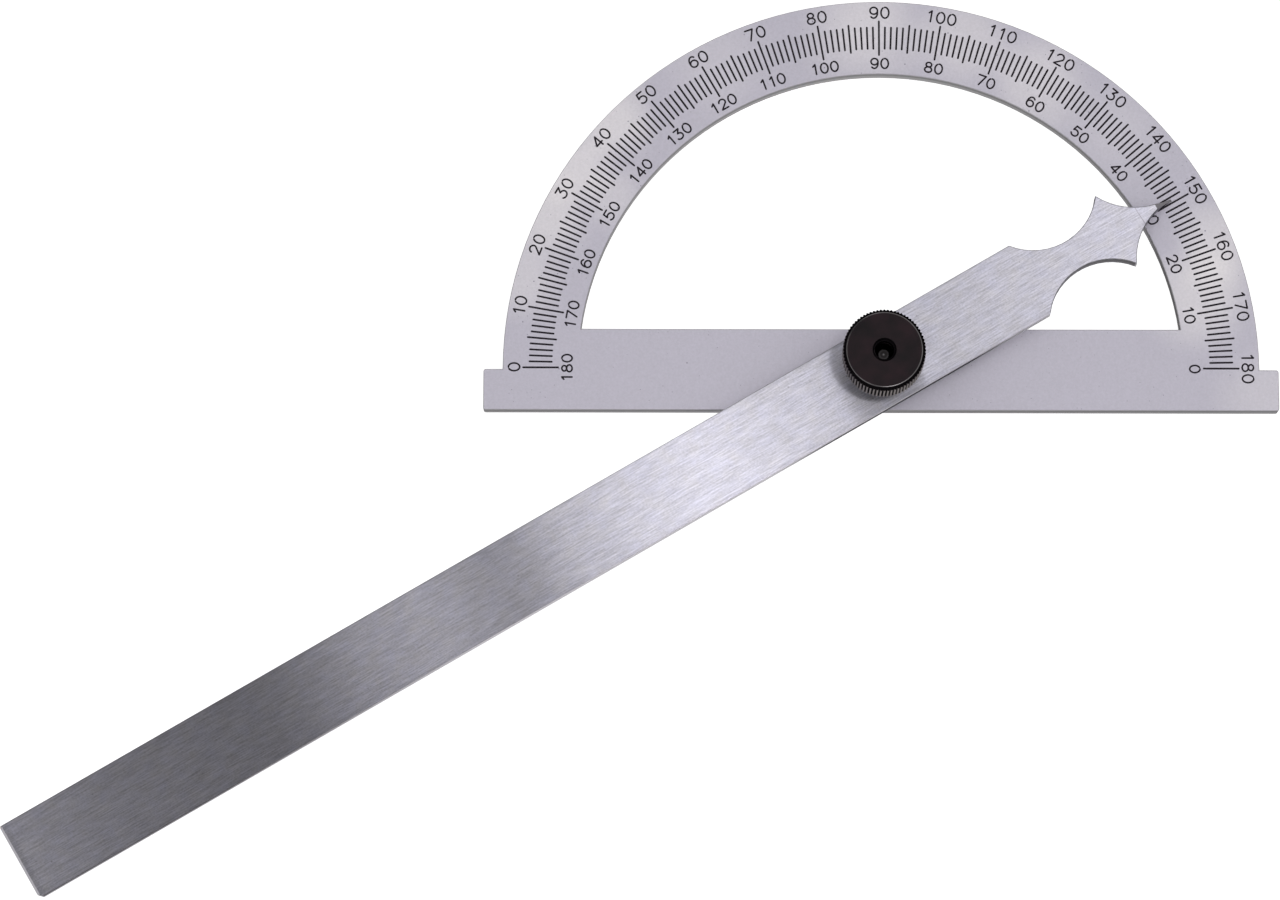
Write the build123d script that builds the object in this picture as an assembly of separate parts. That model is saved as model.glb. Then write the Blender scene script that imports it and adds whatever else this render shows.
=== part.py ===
from build123d import *
import math
import os

# Bevel protractor: a plate with an open semicircular scale, a blade that swings on a stud
# and a knurled nut that clamps it. Lengths are in millimetres and angles in degrees.
# The origin is on the pivot axis at the plate's flat back. +X runs along the base towards
# the right-hand end of the scale, +Y to its 90 degree mark, +Z out of the graduated face.

# Plate: the arc, the bar and the two ends that run past the arc are one blank of sheet
PLATE_THICKNESS = 3.0
ARC_OUTER_RADIUS = 75.0
ARC_WIDTH = 15.0
BAR_ABOVE_PIVOT = 7.85
BAR_BELOW_PIVOT = 8.55
END_OVERHANG = 3.8
END_DROP = 0.3
END_CORNER_RADIUS = 0.5

# Blade: a strip with a notched neck and a spear head whose point reads the scale
BLADE_THICKNESS = 3.0
BLADE_WIDTH = 16.0
BLADE_TAIL = 195.0
BLADE_REST_ANGLE = 30.45
LOWER_TAIL_CORNER = 0.8
UPPER_TAIL_CORNER = 0.25
TAIL_BEVEL = 0.5
POINT_ON_SCALE = 7.4
HEAD_LENGTH = 13.15
NOTCH_RADIUS = 12.6
NECK_WIDTH = 6.1
POINT_WIDTH = 0.5
POINT_FLAT = 0.7
POINT_BEVEL_LENGTH = 3.9

# Both sheet pieces have their upper outline broken by a small chamfer
EDGE_BREAK = 0.15

# Stud: a flush countersunk head, a journal for the blade and an M4 threaded end
HEAD_DIAMETER = 9.0
HEAD_DEPTH = 1.5
JOURNAL_DIAMETER = 6.0
JOURNAL_BELOW_BLADE_TOP = 0.2
THREAD_DIAMETER = 4.0
THREAD_RELIEF_DEPTH = 0.45
THREAD_RELIEF_LENGTH = 1.4
STUD_POINT_WIDTH = 2.0
STUD_END_DEPTH = 5.0
RUNNING_CLEARANCE = 0.03

# Washer between the nut and the blade
WASHER_DIAMETER = 9.0
WASHER_THICKNESS = 0.8
WASHER_CLEARANCE = 0.15

# Nut: a plain collar under a straight-knurled rim
NUT_HEIGHT = 14.8
COLLAR_DIAMETER = 10.0
COLLAR_CHAMFER = 0.5
RIM_DIAMETER = 16.2
RIM_HEIGHT = 7.2
RIM_TOP_CHAMFER = 0.65
RIM_LOWER_CHAMFER = 0.4
KNURL_TEETH = 72
KNURL_DEPTH = 0.3
THREAD_CLEARANCE = 0.05
COUNTERSINK_DIAMETER = 4.7

# Places that follow from the sizes above
ARC_INNER_RADIUS = ARC_OUTER_RADIUS - ARC_WIDTH
BLADE_TOP = PLATE_THICKNESS + BLADE_THICKNESS
NUT_SEAT = BLADE_TOP + WASHER_THICKNESS
NUT_TOP = NUT_SEAT + NUT_HEIGHT


def rectangle(x_low, y_low, x_high, y_high):
    """Flat rectangle between two opposite corners."""
    width = x_high - x_low
    height = y_high - y_low
    return Pos(x_low + width / 2, y_low + height / 2) * Rectangle(width, height)


def turned(points):
    """Solid of revolution about the pivot axis from (radius, height) points."""
    corners = [(radius, 0, height) for radius, height in points]
    return revolve(make_face(Polyline(*corners, close=True)), Axis.Z)


def break_upper_outline(sheet):
    """Chamfer the outline of the sheet's upper face, holes included."""
    upper_face = sheet.faces().sort_by(Axis.Z)[-1]
    return chamfer(upper_face.edges(), EDGE_BREAK)


def countersunk_profile(clearance):
    """Half-section of the stud's head and shank as far as the plate's upper face."""
    shank = JOURNAL_DIAMETER / 2 + clearance
    head = HEAD_DIAMETER / 2 + clearance
    return [(0, 0), (head, 0), (shank, HEAD_DEPTH), (shank, PLATE_THICKNESS), (0, PLATE_THICKNESS)]


def protractor_plate():
    """Semicircular band and bar round an open window, with the stud's countersunk hole."""
    end = ARC_OUTER_RADIUS + END_OVERHANG
    disc = Circle(ARC_OUTER_RADIUS)
    above_ends = rectangle(-end, -END_DROP, end, ARC_OUTER_RADIUS)
    bar = rectangle(-end, -BAR_BELOW_PIVOT, end, -END_DROP)
    above_bar = rectangle(-end, BAR_ABOVE_PIVOT, end, ARC_OUTER_RADIUS)
    window = Circle(ARC_INNER_RADIUS) & above_bar
    sheet = extrude((disc & above_ends) + bar - window, PLATE_THICKNESS)
    upright = sheet.edges().filter_by(Axis.Z).sort_by(Axis.X)
    sheet = fillet(upright[:2] + upright[-2:], END_CORNER_RADIUS)
    return break_upper_outline(sheet) - turned(countersunk_profile(0))


def cut_tail_corner(outline, which, size):
    """Chamfer one corner of the tail: 0 is the lower one, 1 the upper one."""
    corners = outline.vertices().sort_by(Axis.X)[:2].sort_by(Axis.Y)
    return chamfer(corners[which], size)


def blade_outline():
    """Blade seen from above, with the pivot at the origin and the point towards +X."""
    half_width = BLADE_WIDTH / 2
    half_neck = NECK_WIDTH / 2
    half_point = POINT_WIDTH / 2
    point = ARC_INNER_RADIUS + POINT_ON_SCALE
    barb = point - HEAD_LENGTH
    # The notch is a round cut whose centre lies outside the strip
    notch_reach = math.sqrt(NOTCH_RADIUS**2 - (NOTCH_RADIUS + half_neck - half_width) ** 2)
    notch = barb - notch_reach
    shoulder = notch - notch_reach
    # Each side of the head is an arc that starts on the barb and ends along the blade's axis
    side_end = point - POINT_FLAT
    run = side_end - barb
    rise = half_width - half_point
    side_radius = (run**2 + rise**2) / (2 * rise)
    half_turn = math.asin(run / side_radius) / 2
    side_middle = (
        side_end - side_radius * math.sin(half_turn),
        -half_point - side_radius * (1 - math.cos(half_turn)),
    )
    lower_side = [
        Line((-BLADE_TAIL, -half_width), (shoulder, -half_width)),
        ThreePointArc((shoulder, -half_width), (notch, -half_neck), (barb, -half_width)),
        ThreePointArc((barb, -half_width), side_middle, (side_end, -half_point)),
        Line((side_end, -half_point), (point, -half_point)),
    ]
    upper_side = [mirror(edge, about=Plane.XZ) for edge in lower_side]
    tail_end = Line((-BLADE_TAIL, -half_width), (-BLADE_TAIL, half_width))
    point_end = Line((point, -half_point), (point, half_point))
    outline = make_face(lower_side + upper_side + [tail_end, point_end])
    outline = cut_tail_corner(outline, 0, LOWER_TAIL_CORNER)
    return cut_tail_corner(outline, 1, UPPER_TAIL_CORNER)


def end_bevel(end, start, depth):
    """Wedge that bevels the blade across its width, from start to end along it."""
    corners = [
        (start, 0, BLADE_THICKNESS),
        (end, 0, BLADE_THICKNESS),
        (end, 0, BLADE_THICKNESS - depth),
    ]
    return extrude(make_face(Polyline(*corners, close=True)), BLADE_WIDTH / 2, both=True)


def blade():
    """Blade with bevelled ends and its pivot hole, lying on the plate at the rest angle."""
    point = ARC_INNER_RADIUS + POINT_ON_SCALE
    strip = break_upper_outline(extrude(blade_outline(), BLADE_THICKNESS))
    point_bevel = end_bevel(point, point - POINT_BEVEL_LENGTH, BLADE_THICKNESS)
    tail_bevel = end_bevel(-BLADE_TAIL, TAIL_BEVEL - BLADE_TAIL, TAIL_BEVEL)
    hole_radius = JOURNAL_DIAMETER / 2 + RUNNING_CLEARANCE
    hole = extrude(Circle(hole_radius), BLADE_THICKNESS)
    strip = strip - point_bevel - tail_bevel - hole
    return Pos(0, 0, PLATE_THICKNESS) * Rot(0, 0, BLADE_REST_ANGLE) * strip


def pivot_stud():
    """Stud fixed in the plate, flush at the back, with its end down inside the nut."""
    journal = JOURNAL_DIAMETER / 2
    thread = THREAD_DIAMETER / 2
    relief = thread - THREAD_RELIEF_DEPTH
    point = STUD_POINT_WIDTH / 2
    journal_top = BLADE_TOP - JOURNAL_BELOW_BLADE_TOP
    relief_top = journal_top + THREAD_RELIEF_LENGTH
    stud_top = NUT_TOP - STUD_END_DEPTH
    return turned(
        countersunk_profile(0)[:3]
        + [
            (journal, journal_top),
            (relief, journal_top),
            (relief, relief_top - THREAD_RELIEF_DEPTH),
            (thread, relief_top),
            (thread, stud_top - (thread - point)),
            (point, stud_top),
            (0, stud_top),
        ]
    )


def thrust_washer():
    """Flat washer that keeps the turning nut off the blade."""
    hole_radius = THREAD_DIAMETER / 2 + WASHER_CLEARANCE
    ring = Circle(WASHER_DIAMETER / 2) - Circle(hole_radius)
    return Pos(0, 0, BLADE_TOP) * extrude(ring, WASHER_THICKNESS)


def knurl_outline():
    """Outline of the knurling: a V groove between every two teeth."""
    crest = RIM_DIAMETER / 2 + KNURL_DEPTH / 4
    root = RIM_DIAMETER / 2 - KNURL_DEPTH
    pitch = 2 * math.pi / KNURL_TEETH
    corners = []
    for tooth in range(KNURL_TEETH):
        for radius, angle in ((crest, tooth * pitch), (root, (tooth + 0.5) * pitch)):
            corners.append((radius * math.cos(angle), radius * math.sin(angle)))
    return make_face(Polyline(*corners, close=True))


def knurled_nut():
    """Collar and knurled rim in one piece, bored through and countersunk at both ends."""
    rim = RIM_DIAMETER / 2
    collar = COLLAR_DIAMETER / 2
    rim_seat = NUT_TOP - RIM_HEIGHT
    rim_blank = turned(
        [
            (0, rim_seat),
            (rim - RIM_LOWER_CHAMFER, rim_seat),
            (rim, rim_seat + RIM_LOWER_CHAMFER),
            (rim, NUT_TOP - RIM_TOP_CHAMFER),
            (rim - RIM_TOP_CHAMFER, NUT_TOP),
            (0, NUT_TOP),
        ]
    )
    knurled_rim = rim_blank & Pos(0, 0, rim_seat) * extrude(knurl_outline(), RIM_HEIGHT)
    plain_collar = turned(
        [
            (0, NUT_SEAT),
            (collar - COLLAR_CHAMFER, NUT_SEAT),
            (collar, NUT_SEAT + COLLAR_CHAMFER),
            (collar, rim_seat),
            (0, rim_seat),
        ]
    )
    mouth = COUNTERSINK_DIAMETER / 2
    bore = THREAD_DIAMETER / 2 + THREAD_CLEARANCE
    bore_cut = turned(
        [
            (0, NUT_SEAT),
            (mouth, NUT_SEAT),
            (bore, NUT_SEAT + mouth - bore),
            (bore, NUT_TOP - mouth + bore),
            (mouth, NUT_TOP),
            (0, NUT_TOP),
        ]
    )
    return knurled_rim + plain_collar - bore_cut


os.makedirs("parts", exist_ok=True)
for piece in (protractor_plate, blade, pivot_stud, thrust_washer, knurled_nut):
    export_step(piece(), f"parts/{piece.__name__}.step")
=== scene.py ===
"""Dresses the bevel protractor and builds the studio that it is photographed in.

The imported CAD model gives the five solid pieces: plate, blade, stud, washer and nut. This
script gives each its steel finish, lays the filled marks and digits of the scale on the
graduated face, cuts the thread that shows in the nut's mouth, and sets the floor, the light
and the camera. Lengths are in metres unless a name ends in _mm, and angles in degrees.
"""

import logging
import math
from dataclasses import dataclass
from enum import Enum
from typing import ClassVar

import bpy
from mathutils import Matrix, Vector

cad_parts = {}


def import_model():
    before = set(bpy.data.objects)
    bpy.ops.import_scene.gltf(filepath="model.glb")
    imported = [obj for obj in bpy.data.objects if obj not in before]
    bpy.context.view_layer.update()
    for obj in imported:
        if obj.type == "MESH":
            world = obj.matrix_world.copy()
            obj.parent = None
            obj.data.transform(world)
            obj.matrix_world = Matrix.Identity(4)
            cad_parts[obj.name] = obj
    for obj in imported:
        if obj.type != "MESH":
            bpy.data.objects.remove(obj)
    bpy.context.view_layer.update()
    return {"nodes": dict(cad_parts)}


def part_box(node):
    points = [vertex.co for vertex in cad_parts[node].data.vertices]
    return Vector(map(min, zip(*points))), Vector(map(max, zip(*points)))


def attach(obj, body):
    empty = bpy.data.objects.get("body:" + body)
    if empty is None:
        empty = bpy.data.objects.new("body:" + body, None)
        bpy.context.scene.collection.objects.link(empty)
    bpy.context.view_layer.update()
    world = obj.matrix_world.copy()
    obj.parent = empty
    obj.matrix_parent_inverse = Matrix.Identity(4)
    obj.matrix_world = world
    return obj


LOG = logging.getLogger("bevel_protractor")
MM = 0.001
PER_MM = 1 / MM

Colour = tuple[float, float, float]
Point = tuple[float, float]
Socket = bpy.types.NodeSocket

WHITE: Colour = (1.0, 1.0, 1.0)
# The upward part of a normal where the mask of side walls begins and where it is complete
SIDE_WALL: Point = (0.3, 0.1)

# Socket types of a group's inputs, with their defaults
VECTOR = ("NodeSocketVector", None)
GEOMETRY = ("NodeSocketGeometry", None)
MATERIAL = ("NodeSocketMaterial", None)


class Body(Enum):
    """The CAD bodies that pieces ride on."""

    BASE = "base"
    NUT = "nut"


class NodeSheet:
    """A shader or geometry node tree, with short calls that place nodes and join them."""

    def __init__(self, tree: bpy.types.NodeTree) -> None:
        """Keep the tree, of a material, a world or a group, that the calls work on."""
        self.tree = tree

    def add(self, kind: str, feeds: dict | None = None, **settings: object) -> bpy.types.Node:
        """Place one node.

        Args:
            kind: Blender's type name of the node.
            feeds: Sources of its inputs, by the input's name or number.
            **settings: Properties to set on it.

        Returns:
            The new node.
        """
        node = self.tree.nodes.new(kind)
        for name, value in settings.items():
            setattr(node, name, value)
        self.wire(node, feeds or {})
        return node

    def wire(self, node: bpy.types.Node, feeds: dict) -> None:
        """Feed a node's inputs from a dictionary of sources by the input's name or number."""
        for key, source in feeds.items():
            self.feed(node.inputs[key], source)

    def feed(self, socket: Socket, source: object) -> None:
        """Join a source to a socket, or write it there when it is a plain value.

        Args:
            socket: The input to feed.
            source: An output socket or a value. A colour may lack its fourth channel.
        """
        if isinstance(source, bpy.types.NodeSocket):
            self.tree.links.new(source, socket)
        elif socket.type == "RGBA":
            socket.default_value = (*source, 1.0)
        else:
            socket.default_value = source

    def math(self, operation: str, *operands: object, clamp: bool = False) -> Socket:
        """Do one sum, by Blender's name for it, on sockets or numbers in the node's order."""
        feeds = dict(enumerate(operands))
        return self.add("ShaderNodeMath", feeds, operation=operation, use_clamp=clamp).outputs[0]

    def times(self, result: object, *factors: object) -> Socket:
        """Multiply numbers.

        Args:
            result: The first number or its socket.
            *factors: The others, in order.

        Returns:
            The product's socket.
        """
        for factor in factors:
            result = self.math("MULTIPLY", result, factor)
        return result

    def vector_math(self, operation: str, *operands: object, output: str = "Vector") -> Socket:
        """Do one sum on vectors. The output is Value where the result is a number."""
        feeds = dict(enumerate(operands))
        return self.add("ShaderNodeVectorMath", feeds, operation=operation).outputs[output]

    def flat_mm(self, vector: object) -> Socket:
        """Drop a vector's height, and give the rest in millimetres."""
        return self.vector_math("MULTIPLY", vector, (PER_MM, PER_MM, 0.0))

    def radius_mm(self, vector: object) -> Socket:
        """Measure how far a point lies from the pivot axis, in millimetres."""
        return self.vector_math("LENGTH", self.flat_mm(vector), output="Value")

    def part(self, vector: object, axis: str) -> Socket:
        """Take the X, Y or Z part of a vector."""
        return self.add("ShaderNodeSeparateXYZ", {0: vector}).outputs[axis]

    def joined(self, x: object = 0.0, y: object = 0.0, z: object = 0.0) -> Socket:
        """Join three numbers into a vector."""
        return self.add("ShaderNodeCombineXYZ", {"X": x, "Y": y, "Z": z}).outputs[0]

    def noise(self, vector: object, scale: object, detail: float = 2.0) -> Socket:
        """Read noise at a vector, with its scale per metre and its number of finer layers."""
        feeds = {"Vector": vector, "Scale": scale, "Detail": detail}
        return self.add("ShaderNodeTexNoise", feeds, noise_dimensions="3D").outputs["Fac"]

    def ease(self, value: object, start: object, end: object) -> Socket:
        """Turn a value into a smooth step from 0 at start to 1 at end."""
        feeds = {"Value": value, "From Min": start, "From Max": end}
        return self.add("ShaderNodeMapRange", feeds, interpolation_type="SMOOTHSTEP").outputs[0]

    def spread(self, value: object, low: object, high: object) -> Socket:
        """Spread a value of 0 to 1 over the range from low to high."""
        feeds = {"Value": value, "To Min": low, "To Max": high}
        return self.add("ShaderNodeMapRange", feeds, clamp=False).outputs[0]

    def around(self, value: object, swing: float, middle: float = 0.0) -> Socket:
        """Spread a value of 0 to 1 evenly to both sides of a middle."""
        return self.spread(value, middle - swing, middle + swing)

    def blend(self, share: object, first: object, second: object) -> Socket:
        """Blend two colours. The share says how much of the second shows."""
        feeds = {0: share, 6: first, 7: second}
        return self.add("ShaderNodeMix", feeds, data_type="RGBA").outputs[2]

    def layered(self, colour: object, *layers: tuple[object, object]) -> Socket:
        """Lay tones over a colour, one after another.

        Args:
            colour: The colour under them all.
            *layers: A mask and a tone each, the lowest first.

        Returns:
            The last blend's socket.
        """
        for mask, tone in layers:
            colour = self.blend(mask, colour, tone)
        return colour

    def shade(self, colour: object, factor: object) -> Socket:
        """Scale a colour by a number."""
        feeds = {0: colour, "Scale": factor}
        return self.add("ShaderNodeVectorMath", feeds, operation="SCALE").outputs["Vector"]

    def graded(self, value: object, levels: tuple[Point, ...]) -> Socket:
        """Read a level off a row of (place, level) points.

        Args:
            value: The place to read at. Past either end, the level there holds on.
            levels: The points, in order of place.

        Returns:
            The level's socket.
        """
        first, last = levels[0][0], levels[-1][0]
        top = max(level for _, level in levels)
        reach = self.math("SUBTRACT", value, first)
        share = self.math("DIVIDE", reach, last - first, clamp=True)
        ramp = self.add("ShaderNodeValToRGB", {0: share})
        stops = ramp.color_ramp.elements
        for _ in levels[2:]:
            stops.new(0.5)
        for stop, (place, level) in zip(stops, levels):
            stop.position = (place - first) / (last - first)
            stop.color = (*(level / top,) * 3, 1.0)
        return self.times(ramp.outputs["Color"], top)

    def turned_up(self, direction: Colour, kind: str) -> Socket:
        """Turn a fixed direction of the piece with it as it moves.

        Args:
            direction: The direction in the piece's own frame.
            kind: NORMAL or VECTOR.

        Returns:
            The turned direction's socket.
        """
        node = self.add(
            "ShaderNodeVectorTransform",
            {0: direction},
            vector_type=kind,
            convert_from="OBJECT",
            convert_to="WORLD",
        )
        return node.outputs[0]

    def group(self, tree: bpy.types.NodeTree, *values: object) -> Socket:
        """Place a shared group, its inputs fed in their order, and give its only output."""
        kind = "GeometryNodeGroup" if tree.bl_idname == "GeometryNodeTree" else "ShaderNodeGroup"
        return self.add(kind, dict(enumerate(values)), node_tree=tree).outputs[0]

    def sweep(self, curve: Socket, radius: Socket, corners: int) -> Socket:
        """Sweep an even outline along a curve, with closed ends.

        Args:
            curve: The curve's socket.
            radius: The outline's radius.
            corners: How many corners the outline has.

        Returns:
            The mesh's socket.
        """
        feeds = {"Resolution": corners, "Radius": radius}
        outline = self.add("GeometryNodeCurvePrimitiveCircle", feeds).outputs["Curve"]
        feeds = {"Curve": curve, "Profile Curve": outline, "Fill Caps": True}
        return self.add("GeometryNodeCurveToMesh", feeds).outputs[0]

    def real(self, geometry: Socket) -> Socket:
        """Turn instances into geometry of their own."""
        return self.add("GeometryNodeRealizeInstances", {0: geometry}).outputs[0]

    def painted(self, geometry: Socket, material: Socket) -> Socket:
        """Give geometry its material."""
        feeds = {"Geometry": geometry, "Material": material}
        return self.add("GeometryNodeSetMaterial", feeds).outputs[0]


def number(default: float) -> tuple[str, float]:
    """Describe a number input with its default."""
    return ("NodeSocketFloat", default)


def new_group(name: str, inputs: dict[str, tuple], output: str) -> tuple:
    """Start a node group with named sockets.

    Args:
        name: The group's name.
        inputs: Socket type and default by input name; a default of None is left out.
        output: Name of the only output: Geometry or Mesh, or else a shader's number.

    Returns:
        The group's sheet, its inputs' sockets and its output socket.
    """
    kind, result_type = "ShaderNodeTree", "NodeSocketFloat"
    if output in ("Geometry", "Mesh"):
        kind, result_type = "GeometryNodeTree", "NodeSocketGeometry"
    tree = bpy.data.node_groups.new(name, kind)
    for title, (socket_type, default) in inputs.items():
        socket = tree.interface.new_socket(title, in_out="INPUT", socket_type=socket_type)
        if default is not None:
            socket.default_value = default
    tree.interface.new_socket(output, in_out="OUTPUT", socket_type=result_type)
    sheet = NodeSheet(tree)
    given = sheet.add("NodeGroupInput")
    result = sheet.add("NodeGroupOutput")
    return sheet, given.outputs, result.inputs[0]


class SurfaceEffects:
    """The shader groups that more than one finish uses, each built once."""

    def __init__(self) -> None:
        """Build the groups."""
        self.streaks = self._streaks()
        self.clouds = self._clouds()
        self.specks = self._specks()
        self.ring = self._ring()
        self.facing = self._facing()

    def _streaks(self) -> bpy.types.NodeTree:
        """Grind lines: noise drawn out along X, as a value of 0 to 1.

        Returns:
            The group.
        """
        inputs = {"Vector": VECTOR, "Length mm": number(6.0), "Width mm": number(0.2)}
        sheet, given, result = new_group("Grind lines", inputs, "Value")
        size = sheet.joined(given["Length mm"], given["Width mm"], given["Width mm"])
        drawn = sheet.vector_math("DIVIDE", given["Vector"], size)
        sheet.feed(result, sheet.noise(drawn, PER_MM, 3.0))
        return sheet.tree

    def _clouds(self) -> bpy.types.NodeTree:
        """Broad unevenness of a finish, as a value of 0 to 1.

        Returns:
            The group.
        """
        inputs = {"Vector": VECTOR, "Size mm": number(12.0), "Contrast": number(1.5)}
        sheet, given, result = new_group("Clouding", inputs, "Value")
        scale = sheet.math("DIVIDE", PER_MM, given["Size mm"])
        off_middle = sheet.math("SUBTRACT", sheet.noise(given["Vector"], scale), 0.5)
        stretched = sheet.times(off_middle, given["Contrast"])
        sheet.feed(result, sheet.math("ADD", stretched, 0.5, clamp=True))
        return sheet.tree

    def _specks(self) -> bpy.types.NodeTree:
        """Small scattered specks, as a mask.

        Returns:
            The group.
        """
        inputs = {
            "Vector": VECTOR,
            "Spacing mm": number(2.0),
            "Radius": number(0.1),
            "Share": number(0.4),
        }
        sheet, given, result = new_group("Specks", inputs, "Mask")
        scale = sheet.math("DIVIDE", PER_MM, given["Spacing mm"])
        feeds = {"Vector": given["Vector"], "Scale": scale}
        cells = sheet.add("ShaderNodeTexVoronoi", feeds, feature="F1").outputs
        core = sheet.times(given["Radius"], 0.5)
        speck = sheet.ease(cells["Distance"], given["Radius"], core)
        pick = sheet.add("ShaderNodeSeparateColor", {0: cells["Color"]}).outputs[0]
        sheet.feed(result, sheet.times(speck, sheet.math("LESS_THAN", pick, given["Share"])))
        return sheet.tree

    def _ring(self) -> bpy.types.NodeTree:
        """A soft ring about the pivot axis, as a mask.

        Returns:
            The group.
        """
        inputs = {"Vector": VECTOR, "Radius mm": number(7.4), "Half width mm": number(0.2)}
        sheet, given, result = new_group("Ring about the pivot", inputs, "Mask")
        off = sheet.math("SUBTRACT", sheet.radius_mm(given["Vector"]), given["Radius mm"])
        away = sheet.math("ABSOLUTE", off)
        sheet.feed(result, sheet.ease(away, given["Half width mm"], 0.0))
        return sheet.tree

    def _facing(self) -> bpy.types.NodeTree:
        """How upright a face stands: 1 on a side wall, 0 on a level face.

        Returns:
            The group.
        """
        inputs = {"Normal": VECTOR, "Level": number(0.3), "Upright": number(0.1)}
        sheet, given, result = new_group("Side wall", inputs, "Mask")
        tilt = sheet.math("ABSOLUTE", sheet.part(given["Normal"], "Z"))
        sheet.feed(result, sheet.ease(tilt, given["Level"], given["Upright"]))
        return sheet.tree


class Finish:
    """A material that is being built: its sheet, its shader and the points it is read at."""

    def __init__(self, name: str, effects: SurfaceEffects) -> None:
        """Start a material with one Principled shader.

        Args:
            name: The material's name.
            effects: The shared shader groups.
        """
        self.effects = effects
        self.material = bpy.data.materials.new(name)
        self.material.use_nodes = True
        self.sheet = NodeSheet(self.material.node_tree)
        self.shader = self.material.node_tree.nodes["Principled BSDF"]
        self.place = self.sheet.add("ShaderNodeTexCoord").outputs["Object"]
        self.normals = self.sheet.add("ShaderNodeNewGeometry").outputs

    def set(self, **values: object) -> None:
        """Feed the shader's inputs by name, with spaces written as underscores."""
        feeds = {name.replace("_", " "): value for name, value in values.items()}
        self.sheet.wire(self.shader, feeds)

    def metal(self, colour: Socket, rough: Socket, edge_tint: float = 1.0) -> None:
        """Make the shader bare metal. The tint is what is left of it when seen edge on."""
        self.set(Base_Color=colour, Roughness=rough, Metallic=1.0)
        self.set(Specular_Tint=(edge_tint,) * 3)

    def turn_place(self, degrees: float) -> None:
        """Read the points from here on in a frame turned about Z by some degrees."""
        feeds = {"Vector": self.place, "Rotation": (0.0, 0.0, -math.radians(degrees))}
        self.place = self.sheet.add("ShaderNodeMapping", feeds, vector_type="POINT").outputs[0]

    def bump(self, height: object, depth_mm: float, levelled: object = 0.0) -> None:
        """Feed the shader's normal from a height.

        Args:
            height: The height's socket.
            depth_mm: How high a height of 1 stands.
            levelled: How far the normal is first turned to the piece's own Z axis.
        """
        sheet = self.sheet
        upright = sheet.turned_up((0.0, 0.0, 1.0), "NORMAL")
        feeds = {0: levelled, 4: self.normals["Normal"], 5: upright}
        normal = sheet.add("ShaderNodeMix", feeds, data_type="VECTOR").outputs[1]
        feeds = {"Distance": depth_mm * MM, "Height": height, "Normal": normal}
        self.set(Normal=sheet.add("ShaderNodeBump", feeds).outputs[0])

    def part_mm(self, axis: str) -> Socket:
        """Read the X, Y or Z part of the points, in millimetres."""
        return self.sheet.math("DIVIDE", self.sheet.part(self.place, axis), MM)

    def grain(self, size_mm: float, detail: float = 2.0) -> Socket:
        """Place even noise of a size, as a value of 0 to 1."""
        return self.sheet.noise(self.place, 1 / (size_mm * MM), detail)

    def streaks(self, length_mm: float, width_mm: float) -> Socket:
        """Place grind lines of a length and width along X, as a value of 0 to 1."""
        return self.sheet.group(self.effects.streaks, self.place, length_mm, width_mm)

    def clouds(self, size_mm: float, contrast: float) -> Socket:
        """Place broad unevenness of a size and contrast, as a value of 0 to 1."""
        return self.sheet.group(self.effects.clouds, self.place, size_mm, contrast)

    def specks(self, spacing_mm: float, radius: float, share: float) -> Socket:
        """Mask specks, with their cells' size, their radius and the share of cells with one."""
        return self.sheet.group(self.effects.specks, self.place, spacing_mm, radius, share)

    def ring(self, radius_mm: float, half_width_mm: float) -> Socket:
        """Mask a soft ring about the pivot axis that fades out to each side."""
        return self.sheet.group(self.effects.ring, self.place, radius_mm, half_width_mm)

    def facing(self, bounds: Point) -> Socket:
        """Mask upright faces, between two values of the normal's upward part."""
        return self.sheet.group(self.effects.facing, self.normals["True Normal"], *bounds)


class Coat:
    """A finish that a piece is given. Each kind keeps its own colours and sizes."""

    title: ClassVar[str]

    def build(self, effects: SurfaceEffects) -> bpy.types.Material:
        """Build the material.

        Args:
            effects: The shared shader groups.

        Returns:
            The material.
        """
        finish = Finish(self.title, effects)
        self.paint(finish)
        return finish.material

    def paint(self, finish: Finish) -> None:
        """Place the finish's own nodes and feed its shader."""
        raise NotImplementedError


@dataclass(frozen=True)
class BrightPatch:
    """A place on the plate where light or shade is painted into the chrome's tone."""

    angle: float
    radius_mm: float
    reach_mm: float
    share: float

    @property
    def centre(self) -> tuple[float, float, float]:
        """Where it lies in the plate's plane, in millimetres."""
        turn = math.radians(self.angle)
        return (self.radius_mm * math.cos(turn), self.radius_mm * math.sin(turn), 0.0)


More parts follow.
